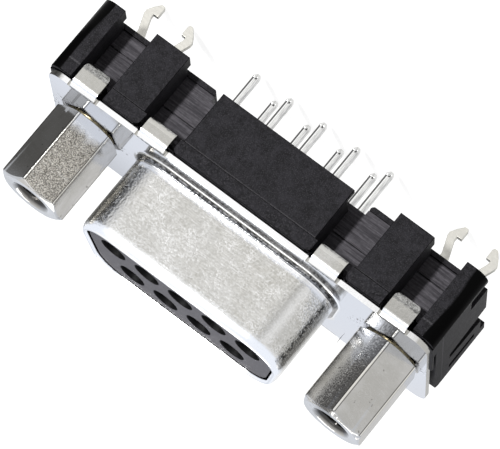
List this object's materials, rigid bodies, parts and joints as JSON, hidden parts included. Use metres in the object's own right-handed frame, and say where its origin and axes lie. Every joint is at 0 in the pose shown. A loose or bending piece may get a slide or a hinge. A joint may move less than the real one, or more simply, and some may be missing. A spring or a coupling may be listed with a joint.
{
  "type": "d-sub connector",
  "caption": "Straight D-sub socket for a circuit board, with a drawn metal shell, a black housing, solder tails, forked boardlocks and hexagonal female screwlocks.",
  "frame": {"origin": "on the board's face, midway between the two screwlocks and midway between the two rows of contacts", "axes": "+Z away from the board, the way a plug leaves; +X along the connector, so that the longer row of contacts lies on the +Y side; the board's face is Z = 0"},
  "size_m": [0.0314, 0.013, 0.0158],
  "materials": {
    "shell_plate": "satin tin plate on drawn steel, with fine scratches",
    "housing_black": "moulded glass-filled plastic, faintly grained",
    "insulator_grey": "moulded plastic, satin",
    "contact_tin": "satin tin plate",
    "boardlock_tin": "stamped sheet with satin tin plate",
    "screwlock_nickel": "nickel plate on machined brass, worn and stained",
    "insert_brass": "thinly plated brass"
  },
  "bodies": {
    "root": {"shell": "shell_plate", "housing": "housing_black", "front_insulator": "insulator_grey", "rear_insulator": "insulator_grey", "contact_1": "contact_tin", "contact_2": "contact_tin", "contact_3": "contact_tin", "contact_4": "contact_tin", "contact_5": "contact_tin", "contact_6": "contact_tin", "contact_7": "contact_tin", "contact_8": "contact_tin", "contact_9": "contact_tin", "insert_left": "insert_brass", "insert_right": "insert_brass", "boardlock_left": "boardlock_tin", "boardlock_right": "boardlock_tin", "screwlock_left": "screwlock_nickel", "screwlock_right": "screwlock_nickel"}
  },
  "joints": []
}
